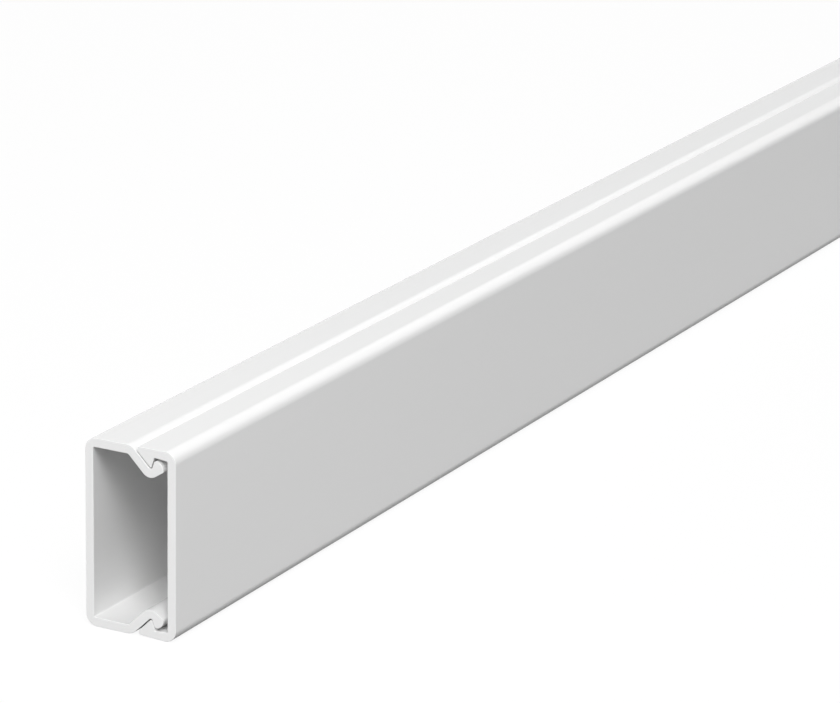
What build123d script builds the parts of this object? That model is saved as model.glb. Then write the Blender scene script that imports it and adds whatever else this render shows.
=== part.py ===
from build123d import *
import os
from math import cos, radians, sin, tan

# Mini cable trunking of rigid PVC, in millimetres. Two extrusions: a base channel that is fixed
# to the wall by its back, and a cover that clips over the in-turned hooks of the base.
# X runs out from the wall, Y along the stock and Z across the two side walls.

# Overall sizes
length = 2000.0
depth = 15.8  # from the wall to the outside of the cover
height = 30.0  # outside the two side walls

# Base channel
base_back_wall = 1.4
base_side_wall = 1.45
base_corner_r = 1.9
base_inner_r = 0.25

# Hook at the mouth of each side wall: the wall turns in on a slant, rounds a pocket and ends in a bead
hook_slant = 45.0  # degrees from the side wall
hook_bend_r = 2.4
hook_inner_bend_r = 0.5
pocket_depth = 3.1  # below the outside of the side wall
pocket_floor = 0.45
pocket_r = 0.25
pocket_lean = 18.0  # degrees that the bead's side of the pocket leans open
bead_width = 1.45
bead_side = 0.95  # height of the bead where it faces the cover
bead_heel_slope = 33.0  # degrees, from under the pocket up to the side of the bead
bead_nose_r = 0.5
bead_crown_r = 1.3
bead_heel_r = 0.35

# Cover
cover_face_wall = 1.45
cover_corner_wall = 1.5  # the lip where it meets the face
cover_lip_wall = 1.3  # the lip where it meets the tooth
cover_corner_r = 1.9
cover_inner_r = 0.2
upper_lip_set_back = 1.0  # from the start of the slant to the edge of the upper lip
lower_lip_set_back = 1.2
tooth_edge_r = 0.4
tooth_heel_r = 0.2
tooth_tip_r = 0.08
tooth_root_r = 0.25
lower_lip_lean = 0.25  # the edge of the lower lip leans in by this much
lean_start = 0.3  # past the end of the corner round

# Fits
hook_clearance = 0.2  # round the tooth in its pocket, where it is free
bearing_clearance = 0.08  # where the lower tooth bears on its bead
face_gap = 0.7  # from the bead to the inside of the cover's face

# Fixing slots along the middle of the back
slot_length = 9.0
slot_width = 4.5
slot_pitch = 250.0

# Places that the base and the cover share: x out from the wall, z up from the lower side
slant = radians(hook_slant)
lean = radians(pocket_lean)
pocket_z = height - pocket_depth
bead_top_z = height - cover_lip_wall - hook_clearance
bead_x = depth - cover_face_wall - face_gap
nose_x = bead_x - bead_width
floor_end_x = nose_x - (bead_top_z - pocket_z) * tan(lean)
floor_start_x = floor_end_x - pocket_floor
slant_x = floor_start_x - pocket_depth / tan(slant)


def across(corners):
    """The same corners on the other side wall."""
    return [(x, height - z, r) for x, z, r in corners]


def extruded(corners):
    """A closed outline of (x, z, radius) corners, in straight runs and arcs, through the whole length."""
    points = [(x - depth / 2, z) for x, z, r in corners]
    outline = FilletPolyline(*points, radius=[r for x, z, r in corners], close=True)
    return extrude(Plane.XZ * make_face(outline), amount=length / 2, both=True)


def hook_corners():
    """The upper hook, from the outer bend of the side wall round pocket and bead to the inner bend."""
    heel = radians(bead_heel_slope)
    heel_r = pocket_r + base_side_wall  # the wall keeps its thickness under the pocket
    round_x, round_z = floor_start_x + pocket_r * tan(slant / 2), pocket_z + pocket_r
    heel_out, heel_way = heel_r / cos((slant + heel) / 2), (heel - slant) / 2
    side_z = round_z - heel_r * cos(heel) + (bead_x - round_x - heel_r * sin(heel)) * tan(heel)
    return [
        (slant_x, height, hook_bend_r),
        (floor_start_x, pocket_z, pocket_r),
        (floor_end_x, pocket_z, pocket_r),
        (nose_x, bead_top_z, bead_nose_r),
        (bead_x, side_z + bead_side, bead_crown_r),
        (bead_x, side_z, bead_heel_r),
        (round_x + heel_out * sin(heel_way), round_z - heel_out * cos(heel_way), heel_r),
        (slant_x - base_side_wall * tan(slant / 2), height - base_side_wall, hook_inner_bend_r),
    ]


def base_corners():
    upper = [
        (0, height, base_corner_r),
        *hook_corners(),
        (base_back_wall, height - base_side_wall, base_inner_r),
    ]
    return upper + across(upper)[::-1]


def lip_corners(set_back, bead_clearance):
    """An upper lip of the cover, from the corner of the face round the tooth to the inside corner."""
    edge_x = slant_x + set_back
    slant_gap, lean_gap = hook_clearance / sin(slant), bead_clearance / cos(lean)
    tip_z, root_z = pocket_z + hook_clearance, height - cover_lip_wall
    return [
        (depth, height, cover_corner_r),
        (edge_x, height, tooth_edge_r),
        (edge_x, height - (set_back - slant_gap) * tan(slant), tooth_heel_r),
        (slant_x + (height - tip_z) / tan(slant) + slant_gap, tip_z, tooth_tip_r),
        (floor_end_x + (tip_z - pocket_z) * tan(lean) - lean_gap, tip_z, tooth_tip_r),
        (floor_end_x + (root_z - pocket_z) * tan(lean) - lean_gap, root_z, tooth_root_r),
        (depth - cover_face_wall, height - cover_corner_wall, cover_inner_r),
    ]


def cover_corners():
    upper = lip_corners(upper_lip_set_back, hook_clearance)
    corner, edge, *tooth = across(lip_corners(lower_lip_set_back, bearing_clearance))
    bend = (depth - cover_corner_r - lean_start, 0, 0)
    return upper + [*tooth[::-1], (edge[0], lower_lip_lean, edge[2]), bend, corner]


def fixing_slots():
    """Slots through the back, at an even pitch about the middle of the length."""
    count = int(length // slot_pitch)
    places = [(i - (count - 1) / 2) * slot_pitch for i in range(count)]
    wall = Plane.YZ.offset(-depth / 2)
    outlines = [wall * Pos(y, height / 2) * SlotOverall(slot_length, slot_width) for y in places]
    return extrude(Sketch() + outlines, amount=2 * base_back_wall, both=True)


def main():
    os.makedirs("parts", exist_ok=True)
    nodes = {
        "trunking_base": extruded(base_corners()) - fixing_slots(),
        "trunking_cover": extruded(cover_corners()),
    }
    for name, solid in nodes.items():
        solid.label = name
        export_step(solid, f"parts/{name}.step")


main()
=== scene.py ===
"""Mini cable trunking of white rigid PVC: a base channel and the cover that clips over its hooks.

The two profiles are worked out as outlines of straight runs and arcs, and carried along the stock
with their sawn ends eased. Their sizes are in millimetres and become metres where a mesh is made.
X runs out from the wall, Y along the stock and Z across the two side walls.
"""
from math import cos, radians, sin, sqrt, tan

import bmesh
import bpy
import numpy as np
from mathutils import Matrix, Vector


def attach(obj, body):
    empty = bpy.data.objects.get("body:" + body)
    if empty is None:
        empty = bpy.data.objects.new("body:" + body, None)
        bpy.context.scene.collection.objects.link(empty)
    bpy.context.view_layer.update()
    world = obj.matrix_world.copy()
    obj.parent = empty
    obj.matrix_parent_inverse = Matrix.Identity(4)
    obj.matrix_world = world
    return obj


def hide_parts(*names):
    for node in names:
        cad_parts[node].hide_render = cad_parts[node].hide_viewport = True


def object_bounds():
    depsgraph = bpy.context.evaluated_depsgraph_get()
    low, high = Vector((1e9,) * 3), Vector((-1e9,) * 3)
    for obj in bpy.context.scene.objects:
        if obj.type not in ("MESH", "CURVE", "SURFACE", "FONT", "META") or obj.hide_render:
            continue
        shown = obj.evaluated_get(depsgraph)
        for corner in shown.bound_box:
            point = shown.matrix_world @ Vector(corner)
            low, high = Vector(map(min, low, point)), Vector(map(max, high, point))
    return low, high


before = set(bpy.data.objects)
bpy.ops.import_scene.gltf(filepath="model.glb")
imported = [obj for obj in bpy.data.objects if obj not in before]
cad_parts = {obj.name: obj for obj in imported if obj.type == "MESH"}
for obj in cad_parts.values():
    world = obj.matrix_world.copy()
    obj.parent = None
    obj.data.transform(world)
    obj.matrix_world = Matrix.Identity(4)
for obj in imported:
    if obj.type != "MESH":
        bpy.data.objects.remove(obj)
cad_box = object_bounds()
bpy.context.scene.view_settings.view_transform = "Standard"

# Overall sizes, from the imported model
MM = 0.001
low, high = (np.array(corner) / MM for corner in cad_box)
depth, length, height = high - low

# Base channel
back_wall = 1.4
side_wall = 1.45
base_corner_r = 1.9
base_inner_r = 0.25

# Hook at the mouth of each side wall
hook_slant = radians(45.0)
hook_bend_r = 2.4
hook_inner_bend_r = 0.5
pocket_depth = 3.1
pocket_floor = 0.45
pocket_r = 0.25
pocket_lean = radians(18.0)
bead_width = 1.45
bead_side = 0.95
bead_heel_slope = radians(33.0)
bead_nose_r = 0.5
bead_crown_r = 1.3
bead_heel_r = 0.35

# Cover
face_wall = 1.45
corner_wall = 1.5
lip_wall = 1.3
cover_corner_r = 1.9
cover_inner_r = 0.2
upper_lip_set_back = 1.0
lower_lip_set_back = 1.2
tooth_edge_r = 0.4
tooth_heel_r = 0.2
tooth_tip_r = 0.08
tooth_root_r = 0.25
lower_lip_lean = 0.25
lean_start = 0.3

# Fits
hook_clearance = 0.2
bearing_clearance = 0.08  # where the lower tooth bears on its bead
face_gap = 0.7

# Fixing slots along the middle of the back
slot_length = 9.0
slot_width = 4.5
slot_pitch = 250.0

# Edges, and the fineness of the meshes
end_ease = 0.08
slot_ease = 0.15
sharpest_r = 0.02  # that a round shrinks to at an eased end
ease_steps = 4
arc_step = radians(6.0)
ring_pitch = 50.0
slot_margin = 2.0  # of the patch of faces round a slot
slot_steps = (12, 8)  # along and across that patch
tolerance = 0.02  # within which a point counts as being at a place

# Places that both profiles share
pocket_z = height - pocket_depth
bead_top_z = height - lip_wall - hook_clearance
bead_x = depth - face_wall - face_gap
floor_end_x = bead_x - bead_width - (bead_top_z - pocket_z) * tan(pocket_lean)
floor_start_x = floor_end_x - pocket_floor
slant_x = floor_start_x - pocket_depth / tan(hook_slant)

# Viewpoint of the photograph, which is 840 pixels wide
photo_width = 840
focal_pixels = 4111.0
film_width = 36.0
seen_from, seen_to = 0.01, 1000.0  # metres from the camera
camera_azimuth = radians(27.933)
camera_elevation = radians(17.51)
camera_roll = radians(1.072)
camera_from_corner = (315.12, -488.46, 226.88)  # from the foot of the wall face at the near end

# Finish of the plastic. Scales are in features to a metre along each axis, and reliefs in metres.
refractive_index = 1.53
skin_shades = (0.830, 0.831, 0.830), (0.850, 0.850, 0.848)
skin_roughness = 0.13
die_line_scale = (1400, 2.5, 1400)
die_line_roughness = 0.04
die_line_relief = 1.0e-6
wave_scale = (110, 9, 110)
wave_relief = 1.2e-5
cloud_scale = (45, 14, 45)
cloud_roughness = 0.07
cloud_share = 0.6  # of the shading, and the die lines have the rest
cut_shades = (0.82, 0.821, 0.82), (0.86, 0.86, 0.858)
cut_roughness = 0.42
saw_spindle = (0.11, 0.0, -0.09)  # metres, the middle of the arcs that the blade left
saw_mark_scale = 4500.0
saw_mark_roughness = 0.12
saw_mark_relief = 4e-6
grain_scale = (6000, 6000, 6000)
grain_roughness = 0.10
grain_relief = 2e-6
grain_share = 0.5  # of the shading, and the saw marks have the rest

# Studio, in metres
fill_level = 0.125  # of the white surroundings, as light on the object
floor_half = 60.0
floor_albedo = 0.1
floor_glow = 0.91  # which shows, but lights nothing
contact_reach = 0.004  # how near a thing over the floor must be for painted contact shade to dim the floor's reflection
lamps = {  # direction from the object, strength, and spread in degrees
    "key": ((0.33, -0.46, 0.82), 0.97, 26),
    "front": ((0.20, -0.95, 0.20), 1.04, 25),
    "front_left": ((-0.50, -0.80, 0.33), 0.28, 50),
    "side": ((0.93, 0.00, 0.35), 0.52, 50),
    "wall_side": ((-0.97, 0.22, 0.05), 2.0, 40),
    "far_end": ((0.12, 0.99, 0.03), 1.6, 25),
}
rim_lamps = {122: 0.045, 102: 0.056, 82: 0.053, 62: 0.056, 42: 0.047}  # strength at degrees round Y
rim_spread = 16
soft_box_place = (0.25, -1.35, 0.45)  # near the sawn end, so that its light falls off from there
soft_box_aim = (0.0, -0.95, 0.02)
soft_box_width = 0.3
soft_box_power = 1.83


class Socket:
    """A socket in a shader tree. Arithmetic on it adds Math nodes."""

    def __init__(self, shader, socket):
        self.shader, self.socket = shader, socket

    def math(self, operation, first, second):
        return self.shader.node("Math", {"operation": operation}, {0: first, 1: second})

    def __add__(self, other):
        return self.math("ADD", self, other)

    def __mul__(self, other):
        return self.math("MULTIPLY", self, other)

    __radd__ = __add__
    __rmul__ = __mul__


class Shader:
    """The emptied node tree of a material, or of the world, to which nodes are added."""

    def __init__(self, owner):
        owner.use_nodes = True
        self.tree = owner.node_tree
        self.tree.nodes.clear()

    def node(self, kind, settings=None, inputs=None, output=0):
        """Adds a node, sets it up, then fills or links its inputs. Gives one of its outputs."""
        node = self.tree.nodes.new("ShaderNode" + kind)
        for name, value in (settings or {}).items():
            setattr(node, name, value)
        for key, value in (inputs or {}).items():
            socket = find_socket(node.inputs, key)
            if isinstance(value, Socket):
                self.tree.links.new(value.socket, socket)
            else:
                socket.default_value = value
        return Socket(self, find_socket(node.outputs, output)) if node.outputs else None

    def places(self):
        """Places on the piece in metres, in the shared frame."""
        return self.node("TexCoord", output="Object")

    def stretched(self, place, scale):
        """Places multiplied by a number along each axis."""
        return self.node("Mapping", inputs={"Vector": place, "Scale": scale})

    def vectors(self, operation, first, second):
        """Vector arithmetic on places."""
        return self.node("VectorMath", {"operation": operation}, {0: first, 1: second})

    def noise(self, place, detail=2.0, roughness=0.5):
        """Smooth noise about 0.5, with one feature for each unit of place."""
        inputs = {"Vector": place, "Scale": 1.0, "Detail": detail, "Roughness": roughness}
        return self.node("TexNoise", inputs=inputs)

    def mix(self, factor, first, second):
        """A colour that goes from the first to the second as factor goes from 0 to 1."""
        colours = {"Factor_Float": factor, "A_Color": colour(first), "B_Color": colour(second)}
        return self.node("Mix", {"data_type": "RGBA"}, colours, "Result_Color")

    def bump(self, relief):
        """Normals of a relief that is given in metres."""
        return self.node("Bump", inputs={"Height": relief, "Distance": 1.0, "Strength": 1.0})

    def surface(self, shade):
        """Makes a shade the look of the material."""
        self.node("OutputMaterial", inputs={"Surface": shade})


def find_socket(sockets, key):
    """The socket with a number, an identifier or a name."""
    if isinstance(key, int):
        return sockets[key]
    return next(socket for socket in sockets if key in (socket.identifier, socket.name))


def colour(value):
    """A colour as a socket takes it, from a grey level or three numbers, or a link as it is."""
    if isinstance(value, Socket):
        return value
    return (*value, 1) if isinstance(value, tuple) else (value, value, value, 1)


def towards_camera():
    """The direction from the object to the camera."""
    a, e = camera_azimuth, camera_elevation
    return Vector((sin(a) * cos(e), -cos(a) * cos(e), sin(e)))


def make_camera():
    """A camera at the photograph's viewpoint, found from the edges of the end and of the length."""
    data = bpy.data.cameras.new("photo_camera")
    data.sensor_width = film_width
    data.lens = focal_pixels / photo_width * film_width
    data.clip_start, data.clip_end = seen_from, seen_to
    camera = bpy.data.objects.new("photo_camera", data)
    bpy.context.scene.collection.objects.link(camera)
    back = towards_camera()
    level = Vector((cos(camera_azimuth), sin(camera_azimuth), 0.0))
    right = level * cos(camera_roll) + back.cross(level) * sin(camera_roll)
    turn = Matrix((right, back.cross(right), back)).transposed().to_4x4()
    place = (Vector(low) + Vector(camera_from_corner)) * MM
    camera.matrix_world = Matrix.Translation(place) @ turn
    bpy.context.scene.camera = camera


def seen_directly(shader):
    """1 for a ray that shows the surroundings, straight or by gloss or glass, else 0."""
    names = ("Is Camera Ray", "Is Glossy Ray", "Is Transmission Ray")
    straight, gloss, glass = (shader.node("LightPath", output=name) for name in names)
    return straight.math("MAXIMUM", straight, gloss.math("MAXIMUM", gloss, glass))


def make_world():
    """Even light from all round, seen as a white background."""
    world = bpy.data.worlds.new("studio")
    bpy.context.scene.world = world
    shader = Shader(world)
    strength = seen_directly(shader) * (1.0 - fill_level) + fill_level
    sky = shader.node("Background", inputs={"Color": colour(1.0), "Strength": strength})
    shader.node("OutputWorld", inputs={"Surface": sky})


def make_floor():
    """A floor far larger than any view, white where no shadow falls on it.

    Gloss shows it with painted contact shade, dimmed where something lies close over it, so that
    undersides don't shine.
    """
    quarters = (-1, -1), (1, -1), (1, 1), (-1, 1)
    corners = [(x * floor_half, y * floor_half, 0) for x, y in quarters]
    mesh = bpy.data.meshes.new("floor")
    mesh.from_pydata(corners, [], [(0, 1, 2, 3)])
    floor = bpy.data.objects.new("floor", mesh)
    bpy.context.scene.collection.objects.link(floor)
    material = bpy.data.materials.new("floor_paint")
    shader = Shader(material)
    paint = shader.node("BsdfDiffuse", inputs={"Color": colour(floor_albedo)})
    # Painted contact shade: occlusion darkens the floor's glow near things over it, for gloss and
    # glass only
    painted_contact_shade = shader.node("AmbientOcclusion", {"samples": 4}, {"Distance": contact_reach})
    white = shader.mix(shader.node("LightPath", output="Is Camera Ray"), painted_contact_shade, 1.0)
    strength = seen_directly(shader) * floor_glow
    glow = shader.node("Emission", inputs={"Color": white, "Strength": strength})
    shader.surface(shader.node("AddShader", inputs={0: paint, 1: glow}))
    mesh.materials.append(material)


def make_lamp(name, kind, energy, towards):
    """A lamp that shines from a direction."""
    data = bpy.data.lights.new(name, kind)
    data.energy = energy
    lamp = bpy.data.objects.new(name, data)
    lamp.rotation_euler = towards.to_track_quat("Z", "Y").to_euler()
    bpy.context.scene.collection.objects.link(lamp)
    return lamp


def make_sun(name, energy, towards, spread):
    """A soft lamp far away, that shines from a round patch of sky as many degrees wide as spread."""
    sun = make_lamp(name, "SUN", energy, towards)
    sun.data.angle = radians(spread)


def mirrored(turn):
    """The direction of what a rounded edge along Y mirrors into the camera, at a turn round Y.

    The normals of such an edge are square to Y, so a mirrored ray keeps its Y part. With b the
    direction to the camera that part is -b.y, and the direction is (k cos t, -b.y, k sin t), with
    k such that its length is 1.
    """
    along = -towards_camera().y
    out = sqrt(1.0 - along ** 2)
    return Vector((out * cos(turn), along, out * sin(turn)))


def make_lamps():
    """Soft lamps all round, five that the edges mirror, and a soft box near the sawn end."""
    for name, (towards, strength, spread) in lamps.items():
        make_sun(name, strength, Vector(towards), spread)
    for degrees, strength in rim_lamps.items():
        make_sun(f"rim_{degrees}", strength, mirrored(radians(degrees)), rim_spread)
    towards = Vector(soft_box_place) - Vector(soft_box_aim)
    soft_box = make_lamp("soft_box", "AREA", soft_box_power, towards)
    soft_box.data.size = soft_box_width
    soft_box.location = soft_box_place
    soft_box.visible_camera = False


def satin_skin():
    """White PVC as it leaves the die: satin, with fine lines along the stock and slow waves."""
    material = bpy.data.materials.new("satin_skin")
    shader = Shader(material)
    place = shader.places()
    lines = shader.noise(shader.stretched(place, die_line_scale), detail=3.0, roughness=0.6)
    waves = shader.noise(shader.stretched(place, wave_scale))
    clouds = shader.noise(shader.stretched(place, cloud_scale), detail=4.0)
    mottle = clouds * cloud_share + lines * (1.0 - cloud_share)
    inputs = {
        "Base Color": shader.mix(mottle, *skin_shades),
        "Roughness": clouds * cloud_roughness + lines * die_line_roughness + skin_roughness,
        "IOR": refractive_index,
        "Normal": shader.bump(lines * die_line_relief + waves * wave_relief),
    }
    shader.surface(shader.node("BsdfPrincipled", inputs=inputs))
    return material


def sawn_end():
    """The cut through the stock: a duller white, with fine arcs left by the saw blade."""
    material = bpy.data.materials.new("sawn_end")
    shader = Shader(material)
    place = shader.places()
    from_spindle = shader.vectors("SUBTRACT", place, saw_spindle)
    in_cut = shader.vectors("MULTIPLY", from_spindle, (1.0, 0.0, 1.0))
    radius = shader.node("VectorMath", {"operation": "LENGTH"}, {0: in_cut}, "Value")
    arcs = {"W": radius, "Scale": saw_mark_scale, "Detail": 2.0}
    marks = shader.node("TexNoise", {"noise_dimensions": "1D"}, arcs)
    grain = shader.noise(shader.stretched(place, grain_scale), detail=3.0)
    mottle = grain * grain_share + marks * (1.0 - grain_share)
    inputs = {
        "Base Color": shader.mix(mottle, *cut_shades),
        "Roughness": marks * saw_mark_roughness + grain * grain_roughness + cut_roughness,
        "IOR": refractive_index,
        "Normal": shader.bump(marks * saw_mark_relief + grain * grain_relief),
    }
    shader.surface(shader.node("BsdfPrincipled", inputs=inputs))
    return material


def across(corners):
    """The same corners on the other side wall."""
    return [(x, height - z, r) for x, z, r in corners]


def slot_run(x, count):
    """Points in line on a face of the back, as wide as a slot's patch, from the lower side up."""
    reach = slot_width / 2 + slot_margin
    return [(x, z, 0) for z in np.linspace(height / 2 - reach, height / 2 + reach, count + 1)]


def base_corners():
    """Corners (x, z, radius) of the base channel, clockwise seen from the near end."""
    heel_r = pocket_r + side_wall
    round_x, round_z = floor_start_x + pocket_r * tan(hook_slant / 2), pocket_z + pocket_r
    heel_out = heel_r / cos((hook_slant + bead_heel_slope) / 2)
    heel_way = (bead_heel_slope - hook_slant) / 2
    heel_run = bead_x - round_x - heel_r * sin(bead_heel_slope)
    side_z = round_z - heel_r * cos(bead_heel_slope) + heel_run * tan(bead_heel_slope)
    upper = [
        (0, height, base_corner_r),
        (slant_x, height, hook_bend_r),
        (floor_start_x, pocket_z, pocket_r),
        (floor_end_x, pocket_z, pocket_r),
        (bead_x - bead_width, bead_top_z, bead_nose_r),
        (bead_x, side_z + bead_side, bead_crown_r),
        (bead_x, side_z, bead_heel_r),
        (round_x + heel_out * sin(heel_way), round_z - heel_out * cos(heel_way), heel_r),
        (slant_x - side_wall * tan(hook_slant / 2), height - side_wall, hook_inner_bend_r),
        (back_wall, height - side_wall, base_inner_r),
    ]
    inside, outside = slot_run(back_wall, slot_steps[1]), slot_run(0, slot_steps[1])
    return upper + inside[::-1] + across(upper)[::-1] + outside


def lip_corners(set_back, bead_clearance):
    """Corners of an upper lip of the cover, from the face round the tooth to the inside corner."""
    edge_x = slant_x + set_back
    slant_gap, lean_gap = hook_clearance / sin(hook_slant), bead_clearance / cos(pocket_lean)
    tip_z, root_z = pocket_z + hook_clearance, height - lip_wall
    return [
        (depth, height, cover_corner_r),
        (edge_x, height, tooth_edge_r),
        (edge_x, height - (set_back - slant_gap) * tan(hook_slant), tooth_heel_r),
        (slant_x + (height - tip_z) / tan(hook_slant) + slant_gap, tip_z, tooth_tip_r),
        (floor_end_x + (tip_z - pocket_z) * tan(pocket_lean) - lean_gap, tip_z, tooth_tip_r),
        (floor_end_x + (root_z - pocket_z) * tan(pocket_lean) - lean_gap, root_z, tooth_root_r),
        (depth - face_wall, height - corner_wall, cover_inner_r),
    ]


def cover_corners():
    """Corners (x, z, radius) of the cover, clockwise seen from the near end."""
    upper = lip_corners(upper_lip_set_back, hook_clearance)
    corner, edge, *tooth = across(lip_corners(lower_lip_set_back, bearing_clearance))
    bend = (depth - cover_corner_r - lean_start, 0, 0)
    return (upper + [*tooth[::-1], (edge[0], lower_lip_lean, edge[2]), bend, corner])[::-1]


def outline(corners, inset=0.0):
    """Points of a rounded outline that goes clockwise, let into the material by inset.

    Each edge moves along its inward normal n, so a corner moves by inset * (n0 + n1) / (1 + n0.n1).
    A corner that turns by t is an arc of radius r that leaves its edges r * tan(t / 2) from the
    corner. The radius shrinks by inset at a convex corner and grows by it at a hollow one, so that
    the arcs stay concentric.
    """
    table = np.array(corners, float)
    points, radii = table[:, :2], table[:, 2]
    ahead = np.roll(points, -1, axis=0) - points
    ahead /= np.linalg.norm(ahead, axis=1)[:, None]
    behind = np.roll(ahead, 1, axis=0)
    crossed = behind[:, 0] * ahead[:, 1] - behind[:, 1] * ahead[:, 0]
    turn = np.arctan2(crossed, (behind * ahead).sum(1))
    inward = np.stack((ahead[:, 1], -ahead[:, 0]), 1)
    before = np.roll(inward, 1, axis=0)
    points = points + inset * (before + inward) / (1 + (before * inward).sum(1))[:, None]
    sharp = radii == 0
    radii = np.where(turn < 0, np.maximum(radii - inset, sharpest_r), radii + inset)
    radii[sharp] = 0
    rounded = []
    for point, r, way, t in zip(points, radii, behind, turn):
        steps = int(np.ceil(abs(t) / arc_step)) if r else 0
        angle = np.linspace(0.0, abs(t), steps + 1)[:, None]
        side = np.sign(t) * np.array((-way[1], way[0]))
        start = point - way * r * tan(abs(t) / 2)
        rounded.append(start + r * (np.sin(angle) * way + (1 - np.cos(angle)) * side))
    return np.concatenate(rounded)


def quarter_round(radius):
    """A rounded edge, as how far its points are let in from the side and lie from the face.

    With a from 0 to a right angle these are radius * (1 - sin a) and radius * (1 - cos a).
    """
    angle = np.linspace(0.0, np.pi / 2, ease_steps + 1)
    return radius * (1 - np.sin(angle)), radius * (1 - np.cos(angle))


def extrusion(corners, stops):
    """Rings of a profile carried along Y through the stops, with its edges rounded at both ends.

    Gives an array of rings by points by 3. The profile has as many points on every ring.
    """
    let_in, from_end = quarter_round(end_ease)
    ys = np.concatenate((from_end, stops, length - from_end[::-1]))
    insets = np.concatenate((let_in, np.zeros(len(stops)), let_in[::-1]))
    sections = np.array([outline(corners, inset) for inset in insets])
    along = np.broadcast_to(ys[:, None], sections.shape[:2])
    return np.stack((sections[..., 0], along, sections[..., 1]), -1)


def quads_between(grid):
    """Quads between the closed rings of a grid of point numbers, as rings by points by 4."""
    ahead = np.roll(grid, -1, axis=1)
    return np.stack((grid[:-1], ahead[:-1], ahead[1:], grid[1:]), -1)


def edge_of(patch):
    """Point numbers once round the edge of a patch of a grid."""
    return np.concatenate((patch[0, :-1], patch[:-1, -1], patch[-1, :0:-1], patch[:0:-1, 0]))


def slot_rings(y, z):
    """Rings through the back for one slot, from the wall face inwards, with both rims rounded.

    The points p = (y, z) round the patch are measured from the middle of the slot. With c the
    nearest place on the slot's middle line, a ring of radius R has the points
    c + R * (p - c) / |p - c|.
    """
    reach = (slot_length - slot_width) / 2
    middle = np.clip(y, -reach, reach)
    away = np.stack((y - middle, z), -1)
    away /= np.linalg.norm(away, axis=1)[:, None]
    let_in, from_face = quarter_round(slot_ease)
    radii = slot_width / 2 + np.concatenate((let_in, let_in[::-1]))
    xs = np.concatenate((from_face, back_wall - from_face[::-1]))
    ring_y = middle + radii[:, None] * away[:, 0]
    ring_z = radii[:, None] * away[:, 1]
    return np.stack((np.broadcast_to(xs[:, None], ring_y.shape), ring_y, ring_z), -1)


def make_piece(name, points, faces, cut_faces, body, node):
    """A closed piece from points in millimetres and lists of faces of skin and of cut plastic."""
    mesh = bpy.data.meshes.new(name)
    mesh.from_pydata(((points + low) * MM).tolist(), [], faces + cut_faces)
    mesh.materials.append(skin)
    mesh.materials.append(cut)
    mesh.polygons.foreach_set("material_index", [0] * len(faces) + [1] * len(cut_faces))
    form = bmesh.new()
    form.from_mesh(mesh)
    bmesh.ops.recalc_face_normals(form, faces=form.faces)
    form.to_mesh(mesh)
    form.free()
    mesh.shade_smooth()
    piece = bpy.data.objects.new(name, mesh)
    bpy.context.scene.collection.objects.link(piece)
    piece.modifiers.new("even_shading", "WEIGHTED_NORMAL")
    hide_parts(node)
    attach(piece, body)


def make_base():
    """The channel, with slots cut through the patches of faces left for them on the back."""
    count = int(length // slot_pitch)
    centres = length / 2 + (np.arange(count) - (count - 1) / 2) * slot_pitch
    reach = slot_length / 2 + slot_margin
    patch = np.linspace(-reach, reach, slot_steps[0] + 1)
    round_slots = (centres[:, None] + patch).ravel()
    stops = np.unique(np.concatenate((round_slots, np.arange(ring_pitch, length, ring_pitch))))
    rings = extrusion(base_corners(), stops)
    points = rings.reshape(-1, 3)
    grid = np.arange(len(points)).reshape(rings.shape[:2])
    quads = quads_between(grid)
    kept = np.ones(quads.shape[:2], bool)
    section, ys = rings[len(rings) // 2], rings[:, 0, 1]
    on_run = np.abs(section[:, 2] - height / 2) < slot_width / 2 + slot_margin + tolerance
    outside = np.flatnonzero(on_run & (np.abs(section[:, 0]) < tolerance))
    inside = np.flatnonzero(on_run & (np.abs(section[:, 0] - back_wall) < tolerance))
    more_points, skin_faces, cut_faces = [points], [], [grid[0][::-1].tolist(), grid[-1].tolist()]
    filled = len(points)
    for centre in centres:
        rows = np.flatnonzero(np.abs(ys - centre) < reach + tolerance)
        for columns in (outside, inside):
            kept[rows[0]:rows[-1], columns[0]:columns[-1]] = False
        outer_edge = edge_of(grid[np.ix_(rows, outside)])
        inner_edge = edge_of(grid[np.ix_(rows, inside[::-1])])
        around = points[outer_edge]
        slot = slot_rings(around[:, 1] - centre, around[:, 2] - height / 2)
        slot = slot + (0, centre, height / 2)
        slot_grid = filled + np.arange(slot.shape[0] * slot.shape[1]).reshape(slot.shape[:2])
        filled += slot_grid.size
        more_points.append(slot.reshape(-1, 3))
        for pair in ((outer_edge, slot_grid[0]), (slot_grid[-1], inner_edge)):
            skin_faces.append(quads_between(np.stack(pair)).reshape(-1, 4))
        cut_faces += quads_between(slot_grid).reshape(-1, 4).tolist()
    faces = np.concatenate((quads[kept], *skin_faces)).tolist()
    points = np.concatenate(more_points)
    make_piece("base_channel", points, faces, cut_faces, "base", "trunking_base")


def make_cover():
    """The cover, with its teeth in the pockets of the base."""
    rings = extrusion(cover_corners(), np.arange(ring_pitch, length, ring_pitch))
    grid = np.arange(rings.shape[0] * rings.shape[1]).reshape(rings.shape[:2])
    faces = quads_between(grid).reshape(-1, 4).tolist()
    ends = [grid[0][::-1].tolist(), grid[-1].tolist()]
    make_piece("clip_cover", rings.reshape(-1, 3), faces, ends, "cover", "trunking_cover")


make_camera()
make_world()
make_floor()
make_lamps()
skin, cut = satin_skin(), sawn_end()
make_base()
make_cover()
